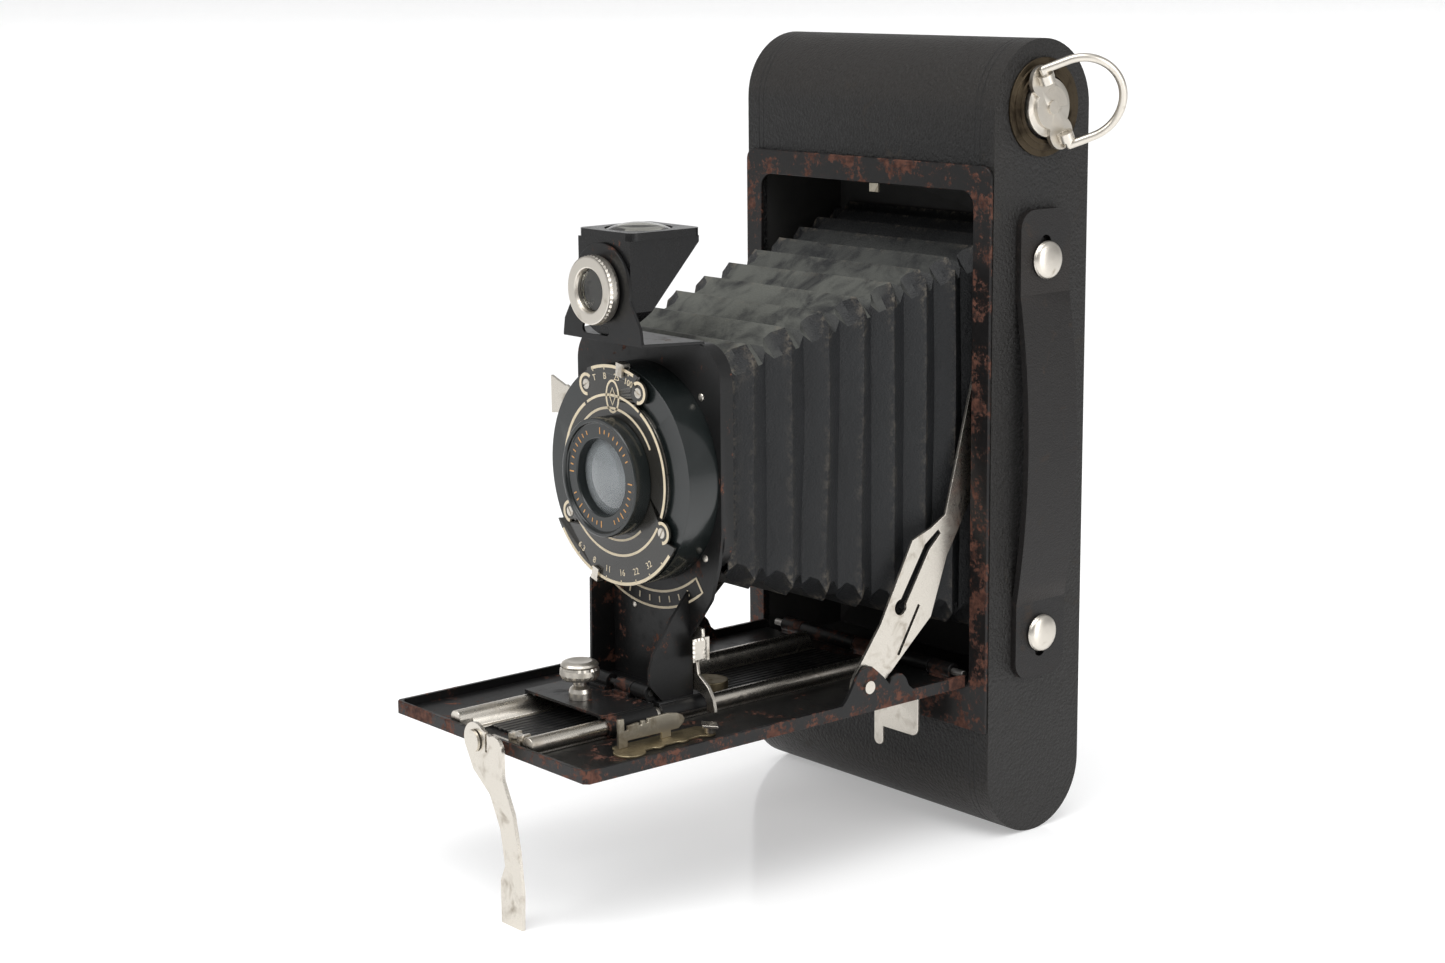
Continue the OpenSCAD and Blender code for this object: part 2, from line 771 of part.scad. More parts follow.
module face_screws() {
    color("#c9b98a") translate([0, 0, lens_z]) for (s = face_screw_at)
        rotate([0, s[0], 0]) translate([0, 0, s[1]]) difference() {
            rod_y(dial_y - 0.15, dial_y + dial_t - 0.1, 1.3);
            block([-1.5, dial_y - 1, -0.2], [1.5, dial_y + 0.15, 0.2]);
        }
}

// A ring that turns about the lens axis behind the dial, with a pointer at the given angle
module pointer_ring(y, angle) {
    tip_r = case_r + 1.1;
    translate([0, 0, lens_z]) difference() {
        union() {
            rod_y(y, y + ring_t, waist_r - 0.6);
            rotate([0, angle, 0]) {
                block([-1.4, y, waist_r - 4], [1.4, y + ring_t, tip_r]);
                block([-1.4, dial_y - 0.9, tip_r - 0.8], [1.4, y + ring_t, tip_r]);
                block([-1.2, dial_y - 0.9, tip_r - 3.4], [1.2, dial_y - 0.2, tip_r]);
            }
        }
        rod_y(y - 1, y + 2, hub_r);
    }
}

module speed_lever() {
    color("#cfc8ba") pointer_ring(case_front - 0.4, 8);
}

module aperture_lever() {
    color("#cfc8ba") pointer_ring(case_front - 0.8, 196);
}

module release_lever() {
    color("#d2cbbd") translate([0, 0, lens_z]) rotate([0, -62, 0]) plate_xz(-24.4, -23.6) {
        difference() {
            union() {
                circle(r = 22);
                translate([-4, 18]) square([8, 15.4]);
            }
            circle(r = 17);
        }
        rotate(-62) polygon([[-27, 18.5], [-34.3, 21], [-34.3, 11], [-30.3, 11.5]]);
    }
}

// One blade of the shutter: half a disc that reaches just past the middle, at depth y
module blade(y) {
    color("#202020") difference() {
        rod_y(y, y + 0.3, 16);
        block([-20, y - 1, -20], [20, y + 1, -0.6]);
    }
}

module blade_upper() {
    translate([0, 0, lens_z]) blade(-22.4);
}

module blade_lower() {
    translate([0, 0, lens_z]) mirror([0, 0, 1]) blade(-22.9);
}

module iris_leaves() {
    color("#242424") translate([0, 0, lens_z]) difference() {
        rod_y(-21.4, -21, 24);
        rod_y(-22, -20, 5);
    }
}

module lens_barrel() {
    color("#141414") translate([0, 0, lens_z]) difference() {
        union() {
            rod_y(dial_y - 5, dial_y, ring_r);
            rod_y(dial_y, -24.9, ring_r - 1.15);
        }
        rod_y(dial_y - 6, -24, glass_r);
        rod_y(dial_y - 6, dial_y - 4.2, ring_r - 1.2);
    }
}

module front_lens() {
    color("#b8c4c8") translate([0, 0, lens_z]) intersection() {
        rod_y(dial_y - 4, dial_y - 0.6, glass_r, $fn = 128);
        translate([0, dial_y + 21, 0]) sphere(r = 24.6, $fn = 180);
    }
}

module rear_cell() {
    color("#141414") translate([0, 0, lens_z]) difference() {
        union() {
            rod_y(-20.3, -13, 13.9);
            rod_y(panel_back, panel_back + 1, 16);
        }
        rod_y(-21, -12, 10);
    }
}

module rear_lens() {
    color("#b8c4c8") translate([0, 0, lens_z]) rod_y(-17, -14.5, 10);
}

module grip_right() {
    color("#b0aa9c") {
        plate_xz(panel_back + 0.2, panel_back + 1.2) polygon([
            [11.5, 8], [12, 16.4], [12.6, 23], [14.5, 25], [19.4, 24.6], [19.8, 18], [17, 15.8],
            [17.6, 12.4], [21.5, 9.8], [23.6, 6.8], [24.2, 3.6], [21.4, 3.2], [20.6, 6.6], [17.6, 8],
        ]);
        block([18.7, panel_back - 2, 16.2], [19.6, panel_back + 2.6, 22.4]);
    }
}

module grip_left() {
    mirror([1, 0, 0]) grip_right();
}

// ---------- finder ----------

module finder_bracket() {
    color("#1c1b1a") {
        difference() {
            plate_xz(lug_y, lug_y + lug_t) {
                translate([0, finder_z]) circle(r = 11.5);
                polygon([
                    [-16, panel_z1 + lug_t], [-15.4, 102], [-11.3, finder_z - 2], [11.3, finder_z - 2],
                    [15.4, 102], [16, panel_z1 + lug_t],
                ]);
            }
            translate([0, 0, finder_z]) rod_y(lug_y - 1, lug_y + 2, tube_r + run);
            plate_xz(lug_y - 1, lug_y + 2) round_box([-8, 99], [3, 101.6], 1.2);
        }
        translate([0, 0, panel_z1]) linear_extrude(height = lug_t)
            polygon([[-16, lug_y], [16, lug_y], [22, panel_back], [-22, panel_back]]);
    }
}

// The finder's wedge, half width x, from y0 back, its sloping side raised by rise; r rounds its lower half
module finder_wedge(x, y0, rise, r) {
    slope = (121.5 - 98) / (finder_back - finder_y0);
    intersection() {
        plate_yz(-x, x) polygon([
            [y0, 98 + rise + slope * (y0 - finder_y0)], [y0, finder_top],
            [finder_back - rise, finder_top], [finder_back - rise, 121.5 + rise * (1 - slope)],
        ]);
        union() {
            block([-20, y0 - 1, finder_z], [20, finder_back + 1, 130]);
            translate([0, 0, finder_z]) rod_y(y0 - 1, finder_back + 1, r);
        }
    }
}

module finder_body() {
    color("#1c1b1a") difference() {
        union() {
            finder_wedge(finder_x, finder_y0, 0, 11.7);
            translate([0, 0, finder_top]) linear_extrude(height = 2)
                round_box([-11, finder_y0], [11, finder_back + 0.6], 2.4);
            translate([0, 0, finder_z]) rod_y(lug_y - 0.6, finder_y0 + eps, tube_r);
        }
        finder_wedge(finder_x - 1.1, finder_y0 + 0.8, 1.4, 10.6);
        translate([0, 0, finder_z]) rod_y(lug_y - 1, finder_y0 + 2, 5.4);
        translate([0, -21.4, finder_top - 1]) cylinder(h = 4, r = 8.6);
    }
}

module finder_mirror() {
    color("#d8dcde") difference() {
        finder_wedge(finder_x - 1.3, finder_y0 + 1, 1.4, 10.4);
        finder_wedge(finder_x, finder_y0 - 1, 2.4, 13);
    }
}

module finder_bezel() {
    color("#d8d2c6") translate([0, 0, finder_z]) difference() {
        rod_y(lug_y - 4, lug_y - 0.6, 8.8);
        rod_y(lug_y - 5, lug_y, 5.2);
    }
}

module finder_lenses() {
    color("#b8c4c8") {
        translate([0, 0, finder_z]) rod_y(lug_y - 2.4, lug_y - 0.9, 5.2);
        translate([0, -21.4, finder_top]) intersection() {
            cylinder(h = 4, r = 8.6, $fn = 128);
            translate([0, 0, -17.2]) sphere(r = 20.6, $fn = 128);
        }
    }
}

// ---------- bellows ----------

bellows_y0 = panel_back + 3.2;
bellows_y1 = film_y - gate_t - 0.1;

// Half width, half height and middle height at fold k of the bellows
function bellows_at(t) = [29.2 + 10.2 * t, 29.5 + 28 * t, 66.1 - 1.1 * t];

// The four corners of one ring of the bellows, drawn in by inset
function bellows_ring(t, inset) =
    let (s = bellows_at(t), y = bellows_y0 + (bellows_y1 - bellows_y0) * t, w = s[0] - inset, h = s[1] - inset)
    [[-w, y, s[2] - h], [w, y, s[2] - h], [w, y, s[2] + h], [-w, y, s[2] + h]];

module bellows() {
    steps = 2 * folds;
    skin = 0.8;
    outer = [for (k = [0:steps]) each bellows_ring(k / steps, (k % 2) * fold_depth)];
    inner = [for (k = [0:steps]) each bellows_ring(k / steps, (k % 2) * fold_depth + skin)];
    base = len(outer);
    sides = [for (k = [0:steps - 1], c = [0:3])
        let (a = 4 * k + c, b = 4 * k + (c + 1) % 4) [a, a + 4, b + 4, b]];
    last = 4 * steps;
    color("#2b2c29") polyhedron(
        points = concat(outer, inner),
        faces = concat(
            [for (f = sides) each [[f[0], f[1], f[2]], [f[0], f[2], f[3]]]],
            [for (f = sides) each [
                [base + f[0], base + f[2], base + f[1]],
                [base + f[0], base + f[3], base + f[2]],
            ]],
            [for (c = [0:3]) let (d = (c + 1) % 4) each [[c, d, base + d], [c, base + d, base + c]]],
            [for (c = [0:3]) let (d = (c + 1) % 4) each [
                [last + c, base + last + d, last + d],
                [last + c, base + last + c, base + last + d],
            ]]
        ),
        convexity = 10
    );
}

body_case();
film_gate();
front_frame();
latch_post();
inner_axles();
bed_hinge_pin();
key_escutcheon();
strap();
strap_studs();
side_tripod_bush();
back_cover();
pressure_plate();
red_window();
film_roller_top();
film_roller_bottom();
winding_key();
takeup_spool();
key_bail();
supply_spool();
spool_pin_top();
spool_pin_bottom();
bed_tray();
track_rails();
track_strip();
bed_pins();
scale_plate();
scale_base();
leg_bracket();
bed_tripod_bush();
scale_lever();
stand_leg();
side_foot();
strut_left();
strut_right();
carriage_plate();
carriage_hinge_pin();
carriage_knob();
standard_panel();
standard_base();
shutter_case();
shutter_face();
face_screws();
speed_lever();
aperture_lever();
release_lever();
blade_upper();
blade_lower();
iris_leaves();
lens_barrel();
front_lens();
rear_cell();
rear_lens();
grip_left();
grip_right();
finder_bracket();
finder_body();
finder_bezel();
finder_lenses();
finder_mirror();
bellows();
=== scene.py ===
"""Looks of the folding camera: every CAD piece gets softened edges and a worn, procedural
finish, and the bellows, the dial's lines, the knurled parts and the small screws are built here."""

import json
import math
import random

import bmesh
import bpy
from mathutils import Matrix, Vector


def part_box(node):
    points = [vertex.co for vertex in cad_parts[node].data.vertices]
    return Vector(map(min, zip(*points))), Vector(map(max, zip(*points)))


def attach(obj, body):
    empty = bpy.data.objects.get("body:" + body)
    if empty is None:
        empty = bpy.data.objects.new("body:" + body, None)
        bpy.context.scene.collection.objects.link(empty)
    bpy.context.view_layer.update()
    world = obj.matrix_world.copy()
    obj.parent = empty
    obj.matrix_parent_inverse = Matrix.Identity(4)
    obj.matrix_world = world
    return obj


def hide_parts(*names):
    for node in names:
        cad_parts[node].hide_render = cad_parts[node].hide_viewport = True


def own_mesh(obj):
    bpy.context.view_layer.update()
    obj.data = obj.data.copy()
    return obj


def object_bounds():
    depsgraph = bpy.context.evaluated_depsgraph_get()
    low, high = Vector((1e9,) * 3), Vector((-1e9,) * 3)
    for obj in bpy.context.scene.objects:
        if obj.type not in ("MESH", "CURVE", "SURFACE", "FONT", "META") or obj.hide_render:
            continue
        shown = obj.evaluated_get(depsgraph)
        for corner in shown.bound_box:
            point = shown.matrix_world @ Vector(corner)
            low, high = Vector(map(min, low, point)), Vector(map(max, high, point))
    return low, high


MM = 0.001
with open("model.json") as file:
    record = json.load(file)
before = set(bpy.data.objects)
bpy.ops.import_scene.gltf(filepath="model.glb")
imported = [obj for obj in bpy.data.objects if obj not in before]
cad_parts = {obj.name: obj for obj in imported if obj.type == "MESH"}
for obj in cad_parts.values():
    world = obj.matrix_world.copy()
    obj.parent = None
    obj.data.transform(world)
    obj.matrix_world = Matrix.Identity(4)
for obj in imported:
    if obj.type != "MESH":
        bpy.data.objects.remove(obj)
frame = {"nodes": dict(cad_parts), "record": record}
CAD_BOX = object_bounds()

LENS_Z = (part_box("shutter_case")[0].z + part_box("shutter_case")[1].z) / 2
DIAL_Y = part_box("shutter_face")[0].y
PANEL_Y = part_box("standard_panel")[1].y - 4 * MM


# ---------- materials ----------

FLOOR_GLOW = 0.34
BED_RIM = (40.8, 71.7)
TOOLED_LINES = (41.2, 43.0)
DEEP_BLACK = (0.006, 0.006, 0.0062)
WORN_BLACK = (0.0065, 0.0065, 0.0066)


class Finish:
    """A material under construction: short names for the nodes that every finish uses."""

    def __init__(self, name):
        self.mat = bpy.data.materials.new(name)
        self.mat.use_nodes = True
        self.tree = self.mat.node_tree
        self.bsdf = self.tree.nodes["Principled BSDF"]
        self.coords = self.add("ShaderNodeTexCoord").outputs["Object"]

    def add(self, kind, **settings):
        node = self.tree.nodes.new(kind)
        for key, value in settings.items():
            setattr(node, key, value)
        return node

    def feed(self, socket, value):
        if isinstance(value, bpy.types.NodeSocket):
            self.tree.links.new(value, socket)
        else:
            socket.default_value = value

    def noise(self, size, detail=4.0, rough=0.55, warp=0.0, coords=None):
        """Noise whose features are about size millimetres wide."""
        node = self.add("ShaderNodeTexNoise")
        self.feed(node.inputs["Vector"], coords or self.coords)
        node.inputs["Scale"].default_value = 1000 / size
        node.inputs["Detail"].default_value = detail
        node.inputs["Roughness"].default_value = rough
        node.inputs["Distortion"].default_value = warp
        return node.outputs["Fac"]

    def cells(self, size):
        """Distances in cells about size millimetres wide."""
        node = self.add("ShaderNodeTexVoronoi")
        self.feed(node.inputs["Vector"], self.coords)
        node.inputs["Scale"].default_value = 1000 / size
        return node.outputs["Distance"]

    def stretched(self, x, y, z):
        node = self.add("ShaderNodeMapping")
        self.feed(node.inputs["Vector"], self.coords)
        node.inputs["Scale"].default_value = (x, y, z)
        return node.outputs["Vector"]

    def step(self, value, low, high):
        """0 below low, 1 above high, smooth between."""
        node = self.add("ShaderNodeMapRange", interpolation_type="SMOOTHSTEP")
        self.feed(node.inputs["Value"], value)
        node.inputs["From Min"].default_value = low
        node.inputs["From Max"].default_value = high
        return node.outputs["Result"]

    def math(self, operation, a, b=0.0):
        node = self.add("ShaderNodeMath", operation=operation)
        self.feed(node.inputs[0], a)
        self.feed(node.inputs[1], b)
        return node.outputs[0]

    def mix(self, amount, a, b):
        """Colours a to b."""
        node = self.add("ShaderNodeMix", data_type="RGBA")
        self.feed(node.inputs["Factor"], amount)
        self.feed(node.inputs["A"], rgba(a))
        self.feed(node.inputs["B"], rgba(b))
        return node.outputs["Result"]

    def blend(self, amount, a, b):
        """Numbers a to b."""
        node = self.add("ShaderNodeMix", data_type="FLOAT")
        self.feed(node.inputs["Factor"], amount)
        self.feed(node.inputs["A"], a)
        self.feed(node.inputs["B"], b)
        return node.outputs["Result"]

    def edges(self, low=0.52, high=0.60):
        """1 on outer edges, where a finish wears first."""
        node = self.add("ShaderNodeNewGeometry")
        return self.step(node.outputs["Pointiness"], low, high)

    def axis(self, letter):
        node = self.add("ShaderNodeSeparateXYZ")
        self.feed(node.inputs["Vector"], self.coords)
        return node.outputs[letter]

    def bump(self, height, depth, strength=1.0, below=None):
        node = self.add("ShaderNodeBump")
        self.feed(node.inputs["Height"], height)
        node.inputs["Distance"].default_value = depth * MM
        node.inputs["Strength"].default_value = strength
        if below is not None:
            self.feed(node.inputs["Normal"], below)
        return node.outputs["Normal"]

    def done(self, color, rough, metallic=0.0, normal=None, **extra):
        self.feed(self.bsdf.inputs["Base Color"], rgba(color))
        self.feed(self.bsdf.inputs["Roughness"], rough)
        self.feed(self.bsdf.inputs["Metallic"], metallic)
        if normal is not None:
            self.feed(self.bsdf.inputs["Normal"], normal)
        for name, value in extra.items():
            self.feed(self.bsdf.inputs[name.replace("_", " ")], value)
        return self.mat


def rgba(color):
    if isinstance(color, tuple) and len(color) == 3:
        return (*color, 1.0)
    return color


def leather(name, dark, worn, grain=0.9, depth=0.38, wear=0.5, tooled=False, rough=0.5, edge=0.5):
    """Pebbled leather, rubbed paler and browner on its high places. tooled adds the pressed border lines."""
    f = Finish(name)
    pebble = f.cells(grain)
    fine = f.noise(0.35, 3)
    large = f.noise(22, 5, 0.6, 0.4)
    scuff = f.step(f.noise(7, 8, 0.68, 0.8), 0.56, 0.72)
    creases = f.step(f.noise(1.6, 6, 0.7, 1.5), 0.35, 0.65)
    height = f.math("ADD", f.math("MULTIPLY", pebble, -0.8), f.math("MULTIPLY", fine, 0.35))
    height = f.math("ADD", height, f.math("MULTIPLY", creases, 0.25))
    rub = f.math("MULTIPLY", scuff, wear)
    rub = f.math("MAXIMUM", rub, f.math("MULTIPLY", f.edges(0.51, 0.58), edge))
    color = f.mix(f.math("MULTIPLY", large, 0.5), dark, tuple(c * 1.7 for c in dark))
    color = f.mix(rub, color, worn)
    normal = f.bump(height, depth, 0.85)
    if tooled:
        from_middle = f.math("ABSOLUTE", f.axis("X"))
        groove = 0.0
        for place in TOOLED_LINES:
            away = f.math("ABSOLUTE", f.math("SUBTRACT", from_middle, place * MM))
            line = f.math("SUBTRACT", 1.0, f.step(away, 0.15 * MM, 0.5 * MM))
            groove = f.math("MAXIMUM", groove, line)
        normal = f.bump(groove, -0.25, 0.9, normal)
        color = f.mix(f.math("MULTIPLY", groove, 0.45), color, (0.004, 0.004, 0.004))
    roughness = f.blend(scuff, rough, rough + 0.14)
    return f.done(color, roughness, 0.0, normal, Specular_IOR_Level=0.36)


def enamel(name, rust, base, gloss=0.32, edge=1.0, rim=None):
    """Black enamel on steel with red-brown rust, which starts at the edges and in patches.

    rim is the half width and the front of a tray whose outer walls rust most."""
    f = Finish(name)
    patches = f.noise(9, 9, 0.70, 0.12)
    speckle = f.noise(1.1, 6, 0.7)
    mask = f.math("ADD", patches, f.math("MULTIPLY", f.math("SUBTRACT", speckle, 0.5), 0.42))
    mask = f.math("ADD", mask, f.math("MULTIPLY", f.edges(0.53, 0.66), 0.06 * edge))
    if rim:
        wall = f.step(f.math("ABSOLUTE", f.axis("X")), (rim[0] - 0.9) * MM, (rim[0] - 0.3) * MM)
        front = f.step(f.math("MULTIPLY", f.axis("Y"), -1.0), (rim[1] - 0.9) * MM, (rim[1] - 0.3) * MM)
        mask = f.math("ADD", mask, f.math("MULTIPLY", f.math("MAXIMUM", wall, front), 0.10))
    eaten = f.step(mask, 0.70 - rust * 0.2, 0.725 - rust * 0.2)
    halo = f.step(mask, 0.64 - rust * 0.2, 0.72 - rust * 0.2)
    tone = f.noise(2.2, 6, 0.65)
    rusty = f.mix(f.step(tone, 0.35, 0.66), (0.034, 0.014, 0.010), (0.120, 0.050, 0.033))
    color = f.mix(f.math("MULTIPLY", f.noise(0.8, 3), 0.6), base, tuple(c * 2.2 for c in base))
    color = f.mix(f.math("MULTIPLY", halo, 0.5), color, (0.035, 0.016, 0.011))
    color = f.mix(eaten, color, rusty)
    dust = f.step(f.noise(5, 8, 0.75), 0.5, 0.75)
    roughness = f.blend(dust, gloss, gloss + 0.2)
    roughness = f.blend(eaten, roughness, 0.82)
    height = f.math("SUBTRACT", f.math("MULTIPLY", speckle, 0.3), f.math("MULTIPLY", eaten, 0.5))
    return f.done(color, roughness, 0.0, f.bump(height, 0.09, 0.7), Specular_IOR_Level=0.3)


def gloss_enamel(name):
    """The shutter's shiny black, with dust and fine scratches."""
    f = Finish(name)
    dust = f.step(f.noise(0.5, 4, 0.8), 0.63, 0.74)
    haze = f.noise(9, 6, 0.6, 0.3)
    scratch = f.step(f.noise(0.9, 6, 0.7, 0.2, f.stretched(1, 1, 8)), 0.66, 0.74)
    color = f.mix(f.math("MULTIPLY", haze, 0.5), (0.006, 0.0085, 0.0085), (0.016, 0.02, 0.02))
    color = f.mix(f.math("MULTIPLY", dust, 0.12), color, (0.25, 0.24, 0.22))
    color = f.mix(f.math("MULTIPLY", f.edges(0.53, 0.62), 0.4), color, (0.05, 0.042, 0.034))
    roughness = f.blend(haze, 0.13, 0.34)
    normal = f.bump(scratch, 0.012, 0.35)
    return f.done(color, roughness, 0.0, normal, Coat_Weight=0.25, Coat_Roughness=0.08)


def plated(name, bright=(0.66, 0.62, 0.555), dull=(0.36, 0.31, 0.245), age=0.4, rough=0.24, relief=1.0):
    """Nickel plate, warm and slightly tarnished, with fine scratches and pits."""
    f = Finish(name)
    cloud = f.noise(6, 7, 0.62, 0.6)
    pits = f.step(f.noise(0.7, 6, 0.72), 0.66, 0.76)
    scratch = f.noise(0.6, 5, 0.6, 0.0, f.stretched(1, 1, 14))
    tarnish = f.step(cloud, 0.62 - age * 0.25, 0.80 - age * 0.15)
    color = f.mix(f.math("MULTIPLY", tarnish, 0.75), bright, dull)
    color = f.mix(f.math("MULTIPLY", pits, 0.6 * relief), color, (0.16, 0.11, 0.07))
    roughness = f.blend(tarnish, rough, rough + 0.25)
    roughness = f.math("ADD", roughness, f.math("MULTIPLY", scratch, 0.07))
    height = f.math("SUBTRACT", f.math("MULTIPLY", scratch, 0.25), pits)
    return f.done(color, roughness, 1.0, f.bump(height, 0.02 * relief, 0.4))


def cloth_leather(name):
    """The bellows' thin leather: black flanks, grey-green tops that are partly dust and partly painted light
    from above, frayed pale fold edges.
    """
    f = Finish(name)
    grain = f.cells(0.55)
    weave = f.noise(0.3, 3)
    wrinkle = f.noise(3.0, 6, 0.62, 1.2, f.stretched(1, 0.6, 0.35))
    up = f.add("ShaderNodeNewGeometry").outputs["Normal"]
    split = f.add("ShaderNodeSeparateXYZ")
    f.feed(split.inputs["Vector"], up)
    # Faces turned upwards are painted paler: partly dust, partly a painted highlight from the light above.
    top = f.step(split.outputs["Z"], 0.45, 0.85)
    dust_and_top_light = f.math("MULTIPLY", top, f.step(f.noise(9, 7, 0.62, 0.5), 0.28, 0.62))
    front = f.math("SUBTRACT", 1.0, f.step(f.axis("Y"), 20 * MM, 75 * MM))
    dust_and_top_light = f.math("MULTIPLY", dust_and_top_light, f.blend(front, 0.06, 1.0))
    color = f.mix(f.noise(14, 5), (0.0055, 0.006, 0.0068), (0.014, 0.015, 0.0165))
    # The pale grey-green on the tops is partly dust and partly painted top light.
    color = f.mix(dust_and_top_light, color, (0.115, 0.118, 0.105))
    fray = f.math("MULTIPLY", f.edges(0.51, 0.58), f.step(f.noise(2.2, 8, 0.75), 0.46, 0.64))
    color = f.mix(f.math("MULTIPLY", fray, 0.55), color, (0.2, 0.17, 0.13))
    height = f.math("ADD", f.math("MULTIPLY", grain, -0.5), f.math("MULTIPLY", weave, 0.3))
    height = f.math("ADD", height, f.math("MULTIPLY", wrinkle, 1.4))
    roughness = f.blend(dust_and_top_light, 0.52, 0.86)
    return f.done(color, roughness, 0.0, f.bump(height, 0.2, 0.8), Specular_IOR_Level=0.34)


def clear_glass(name, tint=(0.93, 0.96, 0.97), rough=0.02):
    """Clear or tinted glass, slightly smeared."""
    f = Finish(name)
    smear = f.blend(f.noise(5, 5, 0.6), rough, rough + 0.06)
    return f.done(tint, smear, 0.0, None, Transmission_Weight=1.0, IOR=1.5)


def print_paint(name, color):
    """Paint for the printed lines, ticks and figures, slightly worn through."""
    f = Finish(name)
    worn = f.step(f.noise(1.2, 7, 0.75), 0.60, 0.72)
    shade = f.mix(f.noise(3, 4), color, tuple(c * 0.72 for c in color))
    shade = f.mix(f.math("MULTIPLY", worn, 0.5), shade, (0.06, 0.05, 0.04))
    return f.done(shade, 0.55, 0.0, f.bump(f.noise(0.4, 3), 0.01, 0.3))


def ribbed(name):
    """The fine lengthwise ribs of the strip between the rails."""
    f = Finish(name)
    wave = f.add("ShaderNodeTexWave", wave_type="BANDS", bands_direction="X")
    f.feed(wave.inputs["Vector"], f.coords)
    wave.inputs["Scale"].default_value = 1000 / 6.0
    wave.inputs["Distortion"].default_value = 0.0
    dust = f.step(f.noise(4, 7, 0.7), 0.45, 0.75)
    color = f.mix(f.math("MULTIPLY", dust, 0.4), (0.008, 0.008, 0.008), (0.05, 0.045, 0.04))
    color = f.mix(f.math("MULTIPLY", wave.outputs["Fac"], 0.5), color, (0.03, 0.03, 0.03))
    return f.done(color, f.blend(dust, 0.3, 0.6), 0.0, f.bump(wave.outputs["Fac"], 0.35, 0.9))


def matte_black(name):
    """Dull, slightly mottled black metal."""
    tone = 0.012
    f = Finish(name)
    mottled = f.mix(f.noise(6, 6, 0.65), (tone,) * 3, (tone * 2.2, tone * 2.1, tone * 1.9))
    return f.done(mottled, f.blend(f.noise(3, 5), 0.5, 0.75), 0.0, f.bump(f.noise(0.5, 4), 0.03, 0.5))


def glass_with_painted_reflection(name):
    """Glass that lets most light through, with a pale diffuse colour that is a painted reflection."""
    f = Finish(name)
    # The pale base colour paints the lens's bright reflection into the glass.
    return f.done((0.62, 0.66, 0.68), 0.04, 0.0, None, Transmission_Weight=0.72, IOR=1.5)


def pale_floor(name):
    """A glossy, nearly white table with a faint glow of its own."""
    f = Finish(name)
    tone = f.mix(f.noise(180, 3), (0.92, 0.925, 0.93), (0.95, 0.95, 0.95))
    rough = f.blend(f.noise(60, 3), 0.10, 0.16)
    glow = {"Emission_Color": (1, 1, 1, 1), "Emission_Strength": FLOOR_GLOW}
    return f.done(tone, rough, 0.0, None, Specular_IOR_Level=0.9, **glow)


MATERIALS = {
    "black_leather": leather(
        "body_leather", (0.0062, 0.0062, 0.0064), (0.042, 0.034, 0.026), tooled=True, rough=0.46
    ),
    "strap_leather": leather(
        "strap_leather", (0.006, 0.0055, 0.0055), (0.060, 0.038, 0.024), 0.5, 0.14, 0.4, edge=0.10
    ),
    "bellows_leather": cloth_leather("bellows_leather"),
    "black_enamel": enamel("black_enamel", 0.22, DEEP_BLACK),
    "shutter_enamel": gloss_enamel("shutter_enamel"),
    "blackened_steel": matte_black("blackened_steel"),
    "nickel": plated("nickel"),
    "steel": plated("steel", (0.55, 0.54, 0.52), (0.25, 0.22, 0.19), 0.5, 0.32),
    "aged_brass": plated("aged_brass", (0.42, 0.35, 0.22), (0.10, 0.075, 0.045), 0.8, 0.36),
    "glass": clear_glass("lens_glass"),
    "ruby_glass": clear_glass("ruby_glass", (0.5, 0.02, 0.01), 0.08),
    "mirror_glass": plated("silvered_glass", (0.86, 0.87, 0.88), (0.6, 0.58, 0.55), 0.1, 0.05),
    "spool_metal": enamel("spool_enamel", 0.02, (0.13, 0.02, 0.014), 0.35),
    "ribbed_black": ribbed("ribbed_black"),
}
RUSTY = enamel("rusty_enamel", 0.86, (0.0065, 0.006, 0.006), 0.38, edge=1.2)
BED_ENAMEL = enamel("bed_enamel", 0.46, WORN_BLACK, 0.34, edge=3.4, rim=BED_RIM)
WORN_ENAMEL = enamel("worn_enamel", 0.42, WORN_BLACK, 0.36)
CLEAN_ENAMEL = enamel("clean_enamel", 0.0, DEEP_BLACK, 0.26)
SATIN_NICKEL = plated("satin_nickel", age=0.25, rough=0.3, relief=0.15)
FINDER_GLASS = clear_glass("finder_glass", (0.55, 0.54, 0.48), 0.03)
LENS_GLASS = glass_with_painted_reflection("glass_with_painted_reflection")
DARK_BRASS = plated("dark_brass", (0.075, 0.058, 0.038), (0.022, 0.016, 0.011), 0.7, 0.46, 0.6)
SCALE_NICKEL = plated("scale_nickel", (0.46, 0.42, 0.34), (0.13, 0.10, 0.065), 0.75, 0.34)
CREAM = print_paint("cream_paint", (0.86, 0.74, 0.54))
GOLD = print_paint("gold_paint", (0.72, 0.36, 0.12))
SPECIAL = {
    "front_frame": RUSTY,
    "bed_tray": BED_ENAMEL,
    "scale_plate": SCALE_NICKEL,
    "scale_base": MATERIALS["aged_brass"],
    "finder_body": CLEAN_ENAMEL,
    "finder_lenses": FINDER_GLASS,
    "front_lens": LENS_GLASS,
    "latch_post": SCALE_NICKEL,
    "strap_studs": SATIN_NICKEL,
    "winding_key": SATIN_NICKEL,
    "key_bail": SATIN_NICKEL,
    "key_escutcheon": DARK_BRASS,
    "carriage_plate": WORN_ENAMEL,
    "standard_panel": WORN_ENAMEL,
    "face_screws": SATIN_NICKEL,
}


# ---------- shapes ----------

WELD = 0.002 * MM
FLAT_ANGLE = math.radians(0.6)
EDGE_ANGLE = math.radians(32)

BODY_OF = {n: b for b, ns in frame["record"]["behaviour"]["bodies"].items() for n in ns}
SLOT_OF = {s["node"]: s["material_slot"] for s in frame["record"]["subparts"]}


